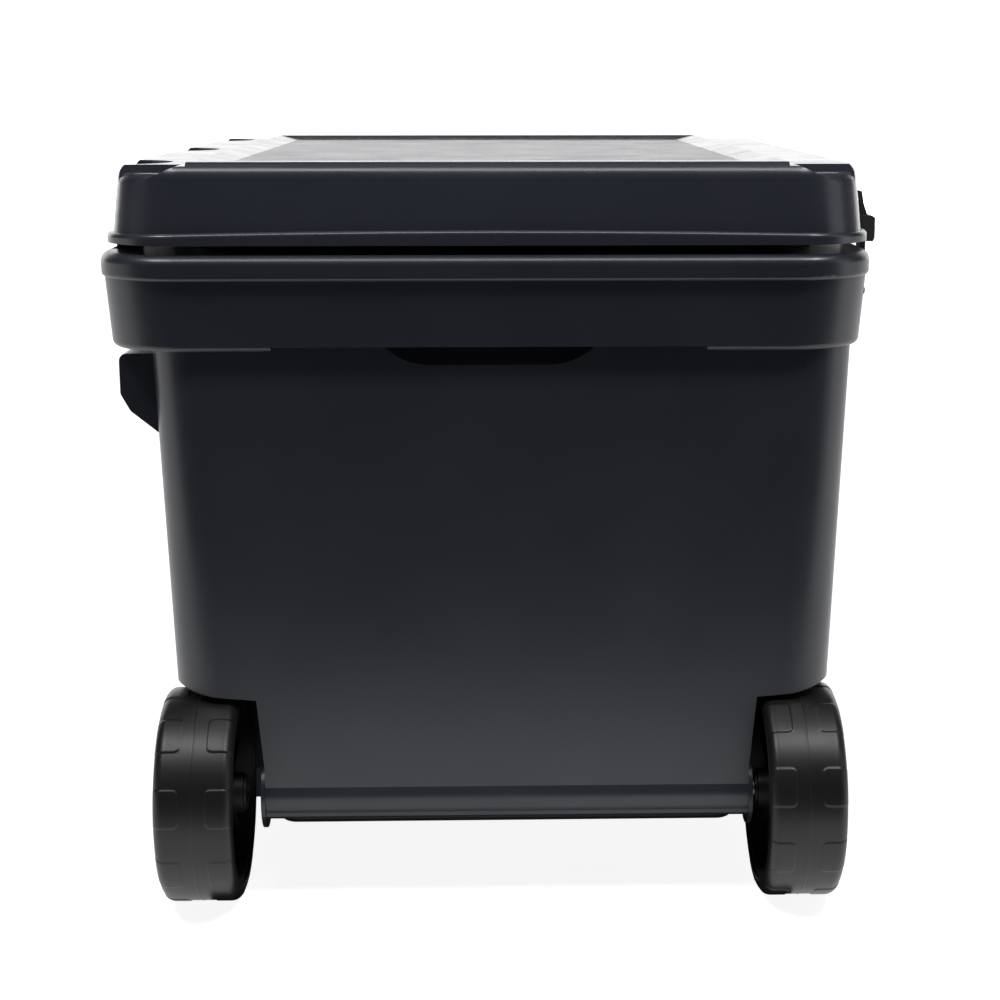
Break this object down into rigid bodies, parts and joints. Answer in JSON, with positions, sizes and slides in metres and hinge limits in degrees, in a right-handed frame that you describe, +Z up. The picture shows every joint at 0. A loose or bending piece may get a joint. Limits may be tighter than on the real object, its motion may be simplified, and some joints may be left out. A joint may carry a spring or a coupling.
{
  "type": "cooler on wheels",
  "caption": "Insulated picnic cooler with a hinged lid, rubber strap latches, wheels at one end, a folding tow handle at the other and a drain.",
  "frame": {"origin": "on the ground under the middle of the whole cooler", "axes": "+Z up, +Y along the length from the wheel end to the tow handle end, +X across the width to the latch side"},
  "size_m": [0.4955, 0.652, 0.481],
  "materials": {
    "shell_plastic": "satin moulded polyethylene",
    "liner_plastic": "satin food-safe plastic",
    "foam": "closed-cell foam",
    "pan_plastic": "matte",
    "tyre_plastic": "matte moulded",
    "wheel_plastic": "satin moulded",
    "rubber": "soft matte",
    "black_plastic": "satin",
    "steel": "zinc plated",
    "painted_steel": "textured powder coat"
  },
  "bodies": {
    "root": {"body_shell": "shell_plastic", "body_liner": "liner_plastic", "body_foam": "foam", "belly_pan": "pan_plastic", "feet": "rubber", "axle": "steel", "axle_bosses": "shell_plastic", "axle_washers": "black_plastic", "axle_caps": "black_plastic", "hinge_body_leaves": "black_plastic", "hinge_pins": "steel", "hinge_body_screws": "steel", "latch_lugs": "black_plastic", "latch_pins": "steel", "latch_lug_screws": "steel", "handle_brackets": "black_plastic", "handle_pins": "steel", "handle_screws": "steel", "drain_tube": "black_plastic", "drain_washer": "rubber", "drain_nut": "black_plastic"},
    "lid": {"lid_shell": "shell_plastic", "lid_liner": "liner_plastic", "lid_foam": "foam", "lid_seal": "rubber", "hinge_lid_leaves": "black_plastic", "hinge_lid_screws": "steel", "latch_keepers": "black_plastic", "latch_keeper_screws": "steel"},
    "latch_near": {"latch_near": "rubber"},
    "latch_far": {"latch_far": "rubber"},
    "wheel_left": {"tyre_left": "tyre_plastic", "wheel_core_left": "wheel_plastic"},
    "wheel_right": {"tyre_right": "tyre_plastic", "wheel_core_right": "wheel_plastic"},
    "tow_handle": {"tow_bow": "painted_steel", "tow_grip": "rubber"},
    "drain_seal": {"drain_cap_seal": "rubber"},
    "drain_cap": {"drain_cap": "black_plastic"}
  },
  "joints": [
    {"name": "lid_hinge", "type": "hinge", "parent": "root", "child": "lid", "pos_m": [-0.23455, 0, 0.44], "axis": [0, -1, 0], "range_deg": [0, 100]},
    {"name": "latch_near_swing", "type": "hinge", "parent": "root", "child": "latch_near", "pos_m": [0.23835, -0.176, 0.393], "axis": [0, 1, 0], "range_deg": [0, 150]},
    {"name": "latch_far_swing", "type": "hinge", "parent": "root", "child": "latch_far", "pos_m": [0.23835, 0.176, 0.393], "axis": [0, 1, 0], "range_deg": [0, 150]},
    {"name": "wheel_left_spin", "type": "hinge", "parent": "root", "child": "wheel_left", "pos_m": [-0.1944, -0.256, 0.07], "axis": [1, 0, 0], "continuous": true},
    {"name": "wheel_right_spin", "type": "hinge", "parent": "root", "child": "wheel_right", "pos_m": [0.1939, -0.256, 0.07], "axis": [1, 0, 0], "continuous": true},
    {"name": "tow_handle_swing", "type": "hinge", "parent": "root", "child": "tow_handle", "pos_m": [0.00375, 0.303, 0.338], "axis": [1, 0, 0], "range_deg": [0, 160]},
    {"name": "drain_slide", "type": "slide", "parent": "root", "child": "drain_seal", "axis": [0, 1, 0], "range_m": [0, 0.0075]},
    {"name": "drain_turn", "type": "hinge", "parent": "drain_seal", "child": "drain_cap", "pos_m": [0.00375, 0.288, 0.083], "axis": [0, 1, 0], "range_deg": [0, 900]}
  ],
  "couplings": [
    {"joint": "drain_slide", "follows": "drain_turn", "m_per_rad": 0.00047746}
  ]
}
